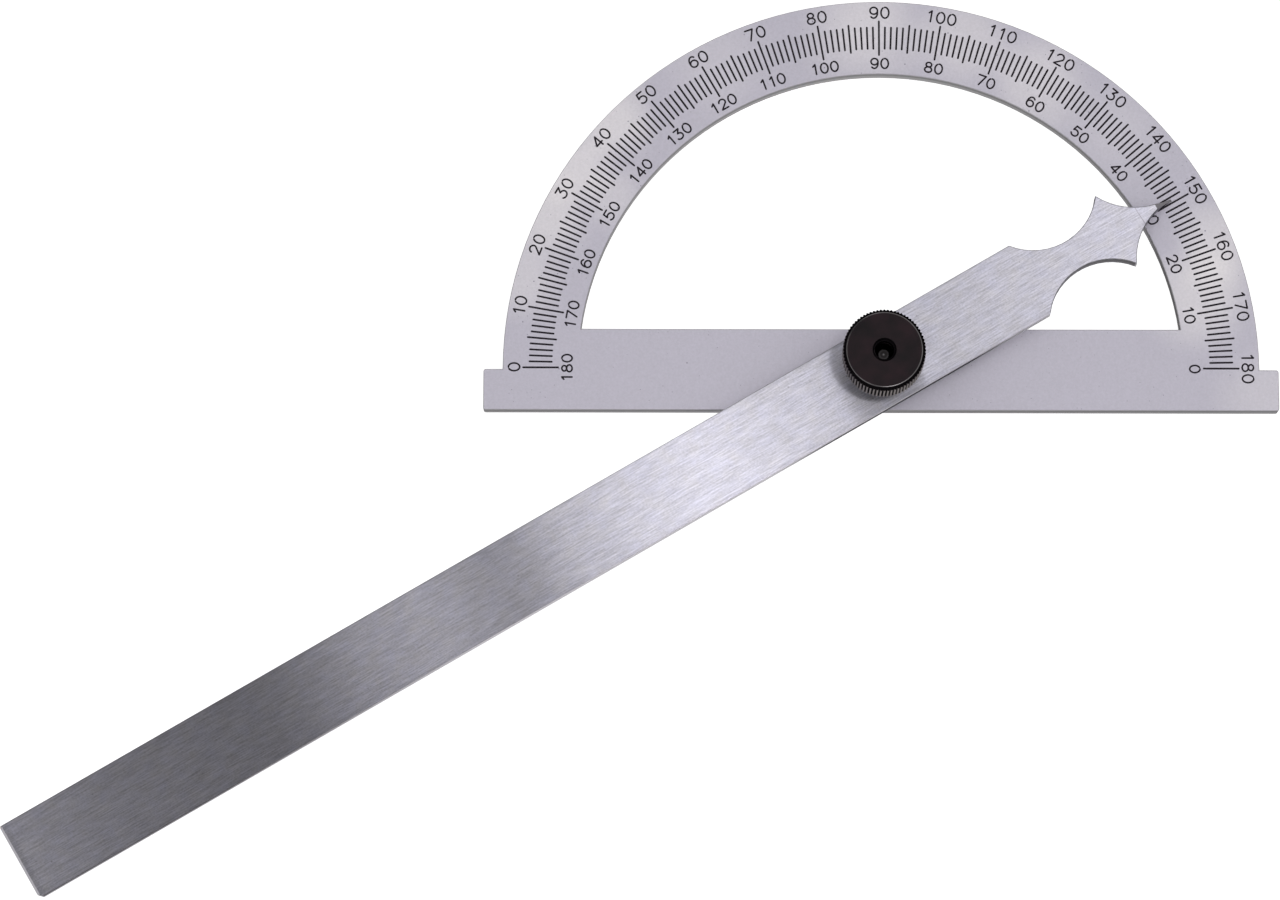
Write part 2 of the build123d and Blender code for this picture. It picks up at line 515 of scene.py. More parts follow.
@dataclass(frozen=True)
class SatinChrome(Coat):
    """The plate: satin chrome over sheet steel, a little uneven, with fine dark specks."""

    title: ClassVar[str] = "satin chromed steel"

    face: Colour = (0.570, 0.548, 0.620)
    # The pale tone of the painted reflections in the patches
    white: Colour = (0.82, 0.79, 0.805)
    speck: Colour = (0.25, 0.23, 0.30)
    wall: Colour = (0.23, 0.225, 0.23)
    # Wall tone where painted light falls
    pale_wall: Colour = (0.30, 0.295, 0.30)
    # Wall tone of the painted shadow of the blade
    dark_wall: Colour = (0.055, 0.053, 0.056)
    edge: Colour = (0.42, 0.41, 0.43)
    edge_facing: Point = (0.9, 0.8)
    roughness: float = 0.61
    rough_swing: float = 0.03
    edge_tint: float = 0.6
    cloud: Point = (14.0, 1.6)
    cloud_swing: float = 0.03
    grain_mm: float = 0.4
    grain_swing: float = 0.1
    grain_depth_mm: float = 0.002
    wall_streaks: Point = (1.2, 0.25)
    wall_swing: float = 0.2
    wall_fall: float = 0.3
    wall_fall_from: float = 0.3
    thickness_mm: float = 3.0
    patch_swing: float = 0.25
    patch_core: float = 0.2
    speck_rows: tuple[tuple[float, float, float], ...] = ((2.3, 0.085, 0.30), (0.9, 0.13, 0.16))
    speck_strength: float = 0.8
    # Painted reflections: patches where the face is blended towards the pale tone
    patches: tuple[BrightPatch, ...] = (
        BrightPatch(166.0, 73.5, 10.0, 0.45),
        BrightPatch(155.0, 73.5, 12.0, 0.65),
        BrightPatch(146.0, 73.5, 10.0, 0.70),
        BrightPatch(137.0, 73.5, 11.0, 0.70),
        BrightPatch(147.0, 64.0, 9.0, 0.40),
        BrightPatch(118.0, 70.0, 14.0, 0.20),
        BrightPatch(92.0, 70.0, 14.0, 0.55),
        BrightPatch(76.0, 69.0, 13.0, 0.45),
        BrightPatch(62.0, 67.0, 13.0, 0.50),
        BrightPatch(46.0, 68.0, 12.0, 0.20),
        BrightPatch(21.0, 72.0, 11.0, 0.55),
        BrightPatch(13.0, 65.0, 13.0, 0.60),
        BrightPatch(-4.0, 77.0, 12.0, 0.30),
    )
    # A painted shadow of the blade on the arc's inner wall, and painted light that pales the wall
    # over most of the arc
    dark_stretch: BrightPatch = BrightPatch(16.0, 60.0, 17.0, 0.8)
    pale_stretch: BrightPatch = BrightPatch(118.0, 60.0, 75.0, 0.95)

    def paint(self, finish: Finish) -> None:
        """Place the finish's own nodes and feed its shader.

        Args:
            finish: The material that is being built.
        """
        sheet = finish.sheet
        cloud = finish.clouds(*self.cloud)
        grain = finish.grain(self.grain_mm, 3.0)
        clouding = sheet.around(cloud, self.cloud_swing, 1.0)
        level = sheet.math("ADD", clouding, sheet.around(grain, self.grain_swing))
        share = 0.0
        # Painted reflections: each patch blends the face towards the pale tone
        for patch in self.patches:
            share = sheet.math("ADD", share, self._patch(finish, patch, cloud), clamp=True)
        colour = sheet.shade(sheet.blend(share, self.face, self.white), level)
        colour = sheet.layered(
            colour,
            *(
                (sheet.times(finish.specks(*row), self.speck_strength), self.speck)
                for row in self.speck_rows
            ),
            (finish.facing(self.edge_facing), self.edge),
            (finish.facing(SIDE_WALL), self._wall_colour(finish)),
        )
        rough = sheet.around(cloud, self.rough_swing, self.roughness)
        finish.metal(colour, rough, self.edge_tint)
        finish.bump(grain, self.grain_depth_mm)

    def _wall_colour(self, finish: Finish) -> Socket:
        """Work out the cut edge's colour: streaked, darker towards the upper face, with painted
        light and a painted blade shadow.

        Args:
            finish: The material that is being built.

        Returns:
            The colour's socket.
        """
        sheet = finish.sheet
        streak = finish.streaks(*self.wall_streaks)
        fall_from = self.wall_fall_from * self.thickness_mm
        upper = sheet.ease(finish.part_mm("Z"), fall_from, self.thickness_mm)
        shading = sheet.around(upper, -self.wall_fall, 1.0)
        level = sheet.times(sheet.around(streak, self.wall_swing, 1.0), shading)
        # Painted light over most of the wall, and a painted shadow of the blade near 16 degrees
        pale = self._patch(finish, self.pale_stretch, streak)
        dark = self._patch(finish, self.dark_stretch, streak)
        colour = sheet.blend(pale, self.wall, self.pale_wall)
        return sheet.shade(sheet.blend(dark, colour, self.dark_wall), level)

    def _patch(self, finish: Finish, patch: BrightPatch, cloud: object) -> Socket:
        """Work out how much of one patch shows.

        Args:
            finish: The material that is being built.
            patch: The patch.
            cloud: The unevenness that breaks its outline.

        Returns:
            The share's socket.
        """
        sheet = finish.sheet
        place = sheet.flat_mm(finish.place)
        gap = sheet.vector_math("DISTANCE", place, patch.centre, output="Value")
        distance = sheet.times(gap, sheet.around(cloud, self.patch_swing, 1.0))
        inside = sheet.ease(distance, patch.reach_mm, patch.reach_mm * self.patch_core)
        return sheet.times(inside, patch.share)


@dataclass(frozen=True)
class GroundSteel(Coat):
    """The blade: bright steel strip, ground along its length."""

    title: ClassVar[str] = "ground steel"

    face: Colour = (0.632, 0.622, 0.730)
    warm: Colour = (0.628, 0.609, 0.664)
    wall: Colour = (0.66, 0.64, 0.67)
    dark_wall: Colour = (0.13, 0.125, 0.135)
    edge: Colour = (0.37, 0.36, 0.385)
    # Painted shade on the chamfer of the upper long edge
    upper_edge: Colour = (0.26, 0.255, 0.275)
    cut_wall: Colour = (0.15, 0.14, 0.155)
    cut_edge: Colour = (0.19, 0.185, 0.195)
    bevel: Colour = (0.20, 0.19, 0.205)
    point_wall: Colour = (0.62, 0.60, 0.65)
    # Tone of the painted contact shadow low on the wall near the pivot
    grime: Colour = (0.07, 0.065, 0.075)
    speck: Colour = (0.35, 0.33, 0.38)
    bevel_facing: Point = (0.95, 0.85)
    edge_facing: Point = (0.77, 0.72)
    roughness: float = 0.283
    rough_swing: float = 0.006
    wall_roughness: float = 0.3
    anisotropy: float = 1.0
    edge_tint: float = 0.6
    direction: float = 30.45
    fine: Point = (3.6, 0.22)
    fine_swing: float = 0.48
    coarse: Point = (11.0, 0.5)
    coarse_swing: float = 0.16
    mottle_mm: float = 0.4
    mottle_swing: float = 0.26
    cloud: Point = (2.6, 2.0)
    specks: tuple[float, float, float] = (2.6, 0.08, 0.3)
    speck_strength: float = 0.7
    grain_depth_mm: float = 0.002
    half_width_mm: float = 8.0
    tail_mm: float = -194.5
    floor_mm: float = 3.0
    top_mm: float = 6.0
    line_place_mm: float = 59.8
    line_width_mm: float = 0.14
    line_strength: float = 0.9
    line_swing_mm: float = 0.25
    side_mm: Point = (0.3, 0.15)
    margin_mm: Point = (1.2, 0.2)
    margin_swing_mm: float = 0.4
    margin_level: float = 0.95
    end_margin_mm: Point = (1.5, 0.5)
    end_swing_mm: float = 0.9
    end_level: float = 0.84
    cut_fall: float = 0.5
    # Painted contact shadow: its reach from the pivot and its rise on the wall
    rubbed_mm: Point = (30.0, 14.0)
    rubbed_rise: Point = (0.85, 0.55)
    # Darker wall towards the tail: its reach along the blade and its rise on the wall
    dulled_mm: Point = (-90.0, -160.0)
    dulled_rise: Point = (0.1, 0.5)
    point_fade_mm: float = 2.5
    # Painted reflection: the face's tone rises and falls along the blade the way reflected light
    # does
    wear: tuple[Point, ...] = (
        (-194.0, 1.00),
        (-160.0, 0.98),
        (-150.0, 0.88),
        (-141.0, 0.80),
        (-133.0, 0.84),
        (-126.0, 1.00),
        (-118.0, 1.16),
        (-103.0, 1.22),
        (-96.0, 1.04),
        (-86.0, 0.83),
        (-80.0, 0.90),
        (-76.0, 1.03),
        (-70.0, 1.13),
        (-64.0, 1.06),
        (-58.0, 1.04),
        (-52.0, 0.955),
        (-44.0, 0.975),
        (-34.0, 0.945),
        (-26.0, 0.93),
        (-16.0, 1.00),
    )

    def paint(self, finish: Finish) -> None:
        """Place the finish's own nodes and feed its shader.

        Args:
            finish: The material that is being built.
        """
        sheet = finish.sheet
        finish.turn_place(self.direction)
        fine = finish.streaks(*self.fine)
        coarse = finish.streaks(*self.coarse)
        mottle = finish.grain(self.mottle_mm)
        level = sheet.around(fine, self.fine_swing, 1.0)
        level = sheet.math("ADD", level, sheet.around(coarse, self.coarse_swing))
        level = sheet.math("ADD", level, sheet.around(mottle, self.mottle_swing))
        # Painted reflection: brighter and darker stretches along the blade
        retoned = sheet.graded(finish.part_mm("X"), self.wear)
        level = sheet.times(level, self._margin_level(finish, mottle), retoned)
        cloud = finish.clouds(*self.cloud)
        colour = sheet.shade(sheet.blend(cloud, self.warm, self.face), level)
        line = self._witness_line(finish, mottle)
        broken = finish.facing(self.edge_facing)
        facet = sheet.math("SUBTRACT", finish.facing(self.bevel_facing), broken, clamp=True)
        upper_half = sheet.math("GREATER_THAN", finish.part_mm("Y"), 0.0)
        long_edge = self._side_share(finish)
        side = sheet.times(broken, long_edge)
        end = sheet.math("LESS_THAN", finish.part_mm("X"), self.tail_mm)
        ground = sheet.math("MAXIMUM", long_edge, end)
        wall = finish.facing(SIDE_WALL)
        colour = sheet.layered(
            colour,
            (sheet.times(finish.specks(*self.specks), self.speck_strength), self.speck),
            (sheet.times(line, self.line_strength), self.speck),
            (facet, self.bevel),
            # Painted shade: the chamfer of the upper long edge is darkened
            (sheet.times(side, upper_half), self.upper_edge),
            (sheet.times(broken, end), self.edge),
            (sheet.times(broken, sheet.math("SUBTRACT", 1.0, ground)), self.cut_edge),
            (wall, self._wall_colour(finish, ground)),
        )
        rough = sheet.around(fine, self.rough_swing, self.roughness)
        rough = sheet.math("ADD", rough, sheet.times(wall, self.wall_roughness))
        finish.metal(colour, rough, self.edge_tint)
        finish.set(Anisotropic=self.anisotropy)
        levelled = sheet.times(side, sheet.math("SUBTRACT", 1.0, wall))
        finish.bump(sheet.math("ADD", fine, coarse), self.grain_depth_mm, levelled)
        turn = math.radians(self.direction)
        across = (-math.sin(turn), math.cos(turn), 0.0)
        finish.set(Tangent=sheet.turned_up(across, "VECTOR"))

    def _margin_level(self, finish: Finish, mottle: Socket) -> Socket:
        """Work out how much darker the face is next to its long edges and its tail.

        Args:
            finish: The material that is being built.
            mottle: A value of 0 to 1 that makes the margin uneven.

        Returns:
            The level's socket.
        """
        sheet = finish.sheet
        across = sheet.math("ABSOLUTE", finish.part_mm("Y"))
        uneven = sheet.math("ADD", across, sheet.around(mottle, self.margin_swing_mm))
        side = sheet.ease(uneven, *(self.half_width_mm - inset for inset in self.margin_mm))
        reach = sheet.math("SUBTRACT", finish.part_mm("X"), self.tail_mm)
        uneven = sheet.math("ADD", reach, sheet.around(mottle, self.end_swing_mm))
        end = sheet.ease(uneven, *self.end_margin_mm)
        margin = sheet.spread(side, 1.0, self.margin_level)
        return sheet.times(margin, sheet.spread(end, 1.0, self.end_level))

    def _side_share(self, finish: Finish) -> Socket:
        """Mask the strip's own long edges, not those of the notches and the head."""
        across = finish.sheet.math("ABSOLUTE", finish.part_mm("Y"))
        return finish.sheet.ease(across, *(self.half_width_mm - inset for inset in self.side_mm))

    def _wall_colour(self, finish: Finish, ground: Socket) -> Socket:
        """Work out the side wall's colour: bright where ground, dark in the cut notches, darker
        high on the wall towards the tail, with a painted contact shadow low near the pivot.

        Args:
            finish: The material that is being built.
            ground: The mask of the ground edges.

        Returns:
            The colour's socket.
        """
        sheet = finish.sheet
        rise = sheet.ease(finish.part_mm("Z"), self.floor_mm, self.top_mm)
        cut = sheet.shade(self.cut_wall, sheet.around(rise, -self.cut_fall, 1.0))
        far = finish.part_mm("X")
        # Painted contact shadow: darkens the wall low down near the pivot, where the blade lies
        # over the bar
        near_pivot = sheet.ease(sheet.math("ABSOLUTE", far), *self.rubbed_mm)
        tone_mask = sheet.times(near_pivot, sheet.ease(rise, *self.rubbed_rise))
        # Darker towards the tail, on the upper part of the wall
        near_tail = sheet.ease(far, *self.dulled_mm)
        tail_dark = sheet.times(near_tail, sheet.ease(rise, *self.dulled_rise))
        bright = sheet.blend(tail_dark, self.wall, self.dark_wall)
        point = sheet.ease(far, self.line_place_mm, self.line_place_mm + self.point_fade_mm)
        cut = sheet.blend(point, cut, self.point_wall)
        return sheet.blend(ground, cut, sheet.blend(tone_mask, bright, self.grime))

    def _witness_line(self, finish: Finish, waver: Socket) -> Socket:
        """Mask the faint line across the head, over the scale's inner edge.

        Args:
            finish: The material that is being built.
            waver: A value of 0 to 1 that makes the line uneven.

        Returns:
            The mask's socket.
        """
        sheet = finish.sheet
        off = sheet.math("SUBTRACT", finish.part_mm("X"), self.line_place_mm)
        uneven = sheet.math("ADD", off, sheet.around(waver, self.line_swing_mm))
        return sheet.ease(sheet.math("ABSOLUTE", uneven), self.line_width_mm, 0.0)


@dataclass(frozen=True)
class BlackOxide(Coat):
    """The nut: turned steel, blackened and slightly oiled, rubbed where fingers turn it."""

    title: ClassVar[str] = "black oxide"

    face: Colour = (0.0205, 0.0180, 0.0195)
    warm: Colour = (0.030, 0.0205, 0.0235)
    rim: Colour = (0.165, 0.157, 0.16)
    crest: Colour = (0.46, 0.425, 0.42)
    chamfer: Colour = (0.006, 0.005, 0.006)
    chamfer_facing: Point = (0.95, 0.8)
    roughness: float = 0.38
    rough_swing: float = 0.05
    rim_polish: float = 0.19
    edge_tint: float = 0.25
    cloud: Point = (3.0, 2.2)
    grain_mm: float = 0.25
    grain_depth_mm: float = 0.0015
    rim_radius_mm: float = 7.36
    rim_width_mm: float = 0.15
    bare_least: float = 0.5
    rounding_mm: float = 0.032
    rounding_reach: float = 1.6
    rounding_power: float = 2.0
    knurl_radius_mm: float = 8.1
    crest_width_mm: float = 0.22

    def paint(self, finish: Finish) -> None:
        """Place the finish's own nodes and feed its shader.

        Args:
            finish: The material that is being built.
        """
        sheet = finish.sheet
        cloud = finish.clouds(*self.cloud)
        wall = finish.facing(SIDE_WALL)
        tone_mask = sheet.times(finish.ring(self.knurl_radius_mm, self.crest_width_mm), wall)
        level = sheet.math("SUBTRACT", 1.0, wall)
        retoned = sheet.times(finish.ring(self.rim_radius_mm, self.rim_width_mm), level)
        colour = sheet.layered(
            self.face,
            (cloud, self.warm),
            (finish.facing(self.chamfer_facing), self.chamfer),
            (wall, self.face),
            (tone_mask, self.crest),
            (sheet.times(retoned, sheet.spread(cloud, self.bare_least, 1.0)), self.rim),
        )
        rough = sheet.around(cloud, self.rough_swing, self.roughness)
        rough = sheet.math("SUBTRACT", rough, sheet.times(retoned, self.rim_polish))
        finish.metal(colour, rough, self.edge_tint)
        height = sheet.times(self._beyond_rim(finish), level, -self.rounding_mm)
        grain = sheet.times(finish.grain(self.grain_mm), self.grain_depth_mm)
        finish.bump(sheet.math("ADD", height, grain), 1.0)

    def _beyond_rim(self, finish: Finish) -> Socket:
        """Measure how far a point is over the rounded edge of the nut's face.

        Args:
            finish: The material that is being built.

        Returns:
            The socket of a value that is 0 on the face and 1 past the edge.
        """
        sheet = finish.sheet
        start = self.rim_radius_mm - self.rim_width_mm
        off = sheet.math("SUBTRACT", sheet.radius_mm(finish.place), start)
        reach = self.rounding_reach * self.rim_width_mm
        share = sheet.math("DIVIDE", off, reach, clamp=True)
        return sheet.math("POWER", share, self.rounding_power)


@dataclass(frozen=True)
class BlackenedStud(Coat):
    """The stud: black oxide, with painted highlights, a centre spot and a ring, on the end of its
    point.
    """

    title: ClassVar[str] = "blackened stud"

    face: Colour = (0.03, 0.027, 0.028)
    # Tone of the painted highlights on the point's end
    tip: Colour = (0.20, 0.195, 0.20)
    roughness: float = 0.35
    rough_swing: float = 0.08
    cloud: Point = (1.5, 1.8)
    cloud_levels: Point = (0.8, 1.3)
    grain_mm: float = 0.2
    grain_depth_mm: float = 0.002
    end_mm: float = 0.9
    centre_mark_mm: float = 0.32
    ring_radius_mm: float = 0.86
    ring_width_mm: float = 0.25
    ring_strength: float = 0.2

    def paint(self, finish: Finish) -> None:
        """Place the finish's own nodes and feed its shader.

        Args:
            finish: The material that is being built.
        """
        sheet = finish.sheet
        _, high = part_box("pivot_stud")
        near_end = sheet.ease(sheet.part(finish.place, "Z"), high.z - self.end_mm * MM, high.z)
        # Painted highlights: a ring and a spot at the centre of the point's end
        tone_mask = finish.ring(self.ring_radius_mm, self.ring_width_mm)
        core = finish.ring(0.0, self.centre_mark_mm)
        marks = sheet.math("ADD", sheet.times(tone_mask, self.ring_strength), core)
        bright = sheet.math("MULTIPLY", near_end, marks, clamp=True)
        cloud = finish.clouds(*self.cloud)
        colour = sheet.shade(self.face, sheet.spread(cloud, *self.cloud_levels))
        colour = sheet.blend(bright, colour, self.tip)
        finish.metal(colour, sheet.around(cloud, self.rough_swing, self.roughness))
        finish.bump(finish.grain(self.grain_mm), self.grain_depth_mm)


@dataclass(frozen=True)
class BrightWasher(Coat):
    """The washer: bright stamped steel with turned rings from use."""

    title: ClassVar[str] = "bright washer steel"

    face: Colour = (0.46, 0.455, 0.46)
    roughness: float = 0.28
    rough_swing: float = 0.06
    cloud: Point = (2.0, 1.5)
    cloud_swing: float = 0.1
    rings_per_mm: float = 9.0
    ring_swing: float = 0.2
    ring_depth_mm: float = 0.003

    def paint(self, finish: Finish) -> None:
        """Place the finish's own nodes and feed its shader.

        Args:
            finish: The material that is being built.
        """
        sheet = finish.sheet
        feeds = {"W": sheet.radius_mm(finish.place), "Scale": self.rings_per_mm}
        rings = sheet.add("ShaderNodeTexNoise", feeds, noise_dimensions="1D").outputs[0]
        cloud = finish.clouds(*self.cloud)
        turned = sheet.around(rings, self.ring_swing, 1.0)
        level = sheet.times(turned, sheet.around(cloud, self.cloud_swing, 1.0))
        rough = sheet.around(cloud, self.rough_swing, self.roughness)
        finish.metal(sheet.shade(self.face, level), rough)
        finish.bump(rings, self.ring_depth_mm)


@dataclass(frozen=True)
class MarkFill(Coat):
    """The filler of the engraved marks: matt black with a violet cast, thin in places."""

    title: ClassVar[str] = "black mark filler"

    dark: Colour = (0.012, 0.008, 0.013)
    thin: Colour = (0.03, 0.023, 0.033)
    thin_share: float = 0.6
    roughness: float = 0.6
    rough_swing: float = 0.1
    shine: float = 0.25
    cloud: Point = (1.3, 2.5)

    def paint(self, finish: Finish) -> None:
        """Place the finish's own nodes and feed its shader.

        Args:
            finish: The material that is being built.
        """
        sheet = finish.sheet
        cloud = finish.clouds(*self.cloud)
        colour = sheet.blend(sheet.times(cloud, self.thin_share), self.dark, self.thin)
        rough = sheet.around(cloud, self.rough_swing, self.roughness)
        finish.set(Base_Color=colour, Roughness=rough, Metallic=0.0)
        finish.set(Specular_IOR_Level=self.shine)


def stand(name: str, data: object) -> bpy.types.Object:
    """Put a new object in the scene.

    Args:
        name: Its name.
        data: Its mesh, light or camera.

    Returns:
        The object, at the origin.
    """
    thing = bpy.data.objects.new(name, data)
    bpy.context.scene.collection.objects.link(thing)
    return thing


def plain_mesh(name: str, *lists: list[tuple]) -> bpy.types.Object:
    """Make an object from lists.

    Args:
        name: Its name.
        *lists: Its corners, edges and faces. What is left out is empty.

    Returns:
        The object, linked to the scene.
    """
    mesh = bpy.data.meshes.new(name)
    mesh.from_pydata(*[*lists, [], [], []][:3])
    return stand(name, mesh)


def grow(
    name: str, host: bpy.types.Object, tree: bpy.types.NodeTree, sizes: dict[str, object]
) -> bpy.types.Object:
    """Run a geometry node tree on a host and keep the result as a plain mesh object.

    Args:
        name: The new piece's name.
        host: The object that the tree starts from. It is removed.
        tree: The tree.
        sizes: The tree's inputs by name.

    Returns:
        The new object, at the origin.
    """
    modifier = host.modifiers.new(tree.name, "NODES")
    modifier.node_group = tree
    for item in tree.interface.items_tree:
        if item.item_type == "SOCKET" and item.in_out == "INPUT" and item.name in sizes:
            modifier[item.identifier] = sizes[item.name]
    depsgraph = bpy.context.evaluated_depsgraph_get()
    mesh = bpy.data.meshes.new_from_object(host.evaluated_get(depsgraph), depsgraph=depsgraph)
    host.modifiers.remove(modifier)
    bpy.data.objects.remove(host)
    mesh.name = name
    return stand(name, mesh)


def stroke_group(inputs: dict[str, tuple], corners: int = 8) -> bpy.types.NodeTree:
    """Build the group that sweeps curves into flat filled strokes with round ends.

    Args:
        inputs: Its inputs: Geometry, Width, Proud, Face height and Material.
        corners: How many corners a stroke has around it.

    Returns:
        The group.
    """
    sheet, given, result = new_group("Filled stroke", inputs, "Mesh")
    radius = sheet.times(given["Width"], 0.5)
    feeds = {"Segments": corners, "Rings": corners // 2, "Radius": radius}
    ball = sheet.add("GeometryNodeMeshUVSphere", feeds).outputs["Mesh"]
    ends = sheet.add("GeometryNodeCurveEndpointSelection").outputs[0]
    feeds = {"Points": given["Geometry"], "Selection": ends, "Instance": ball}
    caps = sheet.add("GeometryNodeInstanceOnPoints", feeds).outputs[0]
    strokes = sheet.sweep(given["Geometry"], radius, corners)
    join = sheet.add("GeometryNodeJoinGeometry", {0: strokes})
    sheet.feed(join.inputs[0], caps)
    place = sheet.add("GeometryNodeInputPosition").outputs[0]
    over = sheet.math("SUBTRACT", sheet.part(place, "Z"), given["Face height"])
    flat = sheet.times(over, sheet.math("DIVIDE", given["Proud"], radius))
    height = sheet.math("ADD", flat, given["Face height"])
    moved = sheet.joined(sheet.part(place, "X"), sheet.part(place, "Y"), height)
    feeds = {"Geometry": sheet.real(join.outputs[0]), "Position": moved}
    pressed = sheet.add("GeometryNodeSetPosition", feeds).outputs[0]
    smooth = sheet.add("GeometryNodeSetShadeSmooth", {"Geometry": pressed}).outputs[0]
    sheet.feed(result, sheet.painted(smooth, given["Material"]))
    return sheet.tree


def arc(centre: Point, radii: Point, start: float, end: float, steps: int = 14) -> list[Point]:
    """List points on an elliptical arc.

    Args:
        centre: Its centre.
        radii: Its half-axes.
        start: Angle of its first point.
        end: Angle of its last point.
        steps: How many pieces it is divided into.

    Returns:
        The points, ends included.
    """
    angles = [math.radians(start + (end - start) * step / steps) for step in range(steps + 1)]
    return [
        (centre[0] + radii[0] * math.cos(angle), centre[1] + radii[1] * math.sin(angle))
        for angle in angles
    ]


# The engraver's single-line digits: strokes in a cell of 1 by 1
DIGIT_STROKES: dict[str, list[list[Point]]] = {
    "0": [arc((0.5, 0.5), (0.5, 0.5), 93, -243, 24)],
    "1": [[(0.24, 0.80), (0.56, 1.0)], [(0.56, 1.0), (0.56, 0.0)]],
    "2": [
        arc((0.49, 0.70), (0.46, 0.30), 168, -28, 14) + [(0.04, 0.0)],
        [(0.04, 0.0), (0.98, 0.0)],
    ],
    "3": [
        [(0.10, 1.0), (0.90, 1.0)],
        [(0.90, 1.0), (0.44, 0.62)],
        [(0.44, 0.62)] + arc((0.46, 0.31), (0.50, 0.31), 72, -150, 14),
    ],
    "4": [
        [(0.74, 0.0), (0.74, 1.0)],
        [(0.74, 1.0), (0.0, 0.27)],
        [(0.0, 0.27), (1.0, 0.27)],
    ],
    "5": [
        [(0.92, 1.0), (0.18, 1.0)],
        [(0.18, 1.0), (0.08, 0.54)],
        [(0.08, 0.54)] + arc((0.46, 0.32), (0.50, 0.32), 118, -148, 14),
    ],
    "6": [arc((0.52, 0.5), (0.5, 0.5), 48, 180, 12) + arc((0.5, 0.32), (0.48, 0.32), 180, 540, 20)],
    "7": [[(0.0, 1.0), (1.0, 1.0)], [(1.0, 1.0), (0.36, 0.0)]],
    "8": [
        arc((0.5, 0.77), (0.38, 0.23), 104, -242, 18),
        arc((0.5, 0.27), (0.48, 0.27), 90, -270, 20),
    ],
    "9": [arc((0.48, 0.5), (0.5, 0.5), -132, 0, 12) + arc((0.5, 0.68), (0.48, 0.32), 0, 360, 20)],
}


@dataclass(frozen=True)
class NumberRow:
    """One row of numbers on the scale, in millimetres from the pivot."""

    foot: float
    height: float
    width: float
    pitch: float
    pitch_after_one: float
    rising_leftwards: bool
    lead_of_one: float = 0.24

    def cell_starts(self, text: str) -> list[float]:
        """Set the digits of a number side by side, centred.

        Args:
            text: The number.

        Returns:
            The left side of each digit's cell.
        """
        starts = [0.0]
        for digit in text[:-1]:
            starts.append(starts[-1] + (self.pitch_after_one if digit == "1" else self.pitch))
        lead = self.lead_of_one * self.width if text[0] == "1" else 0.0
        middle = (starts[-1] + self.width + lead) / 2
        return [start - middle for start in starts]


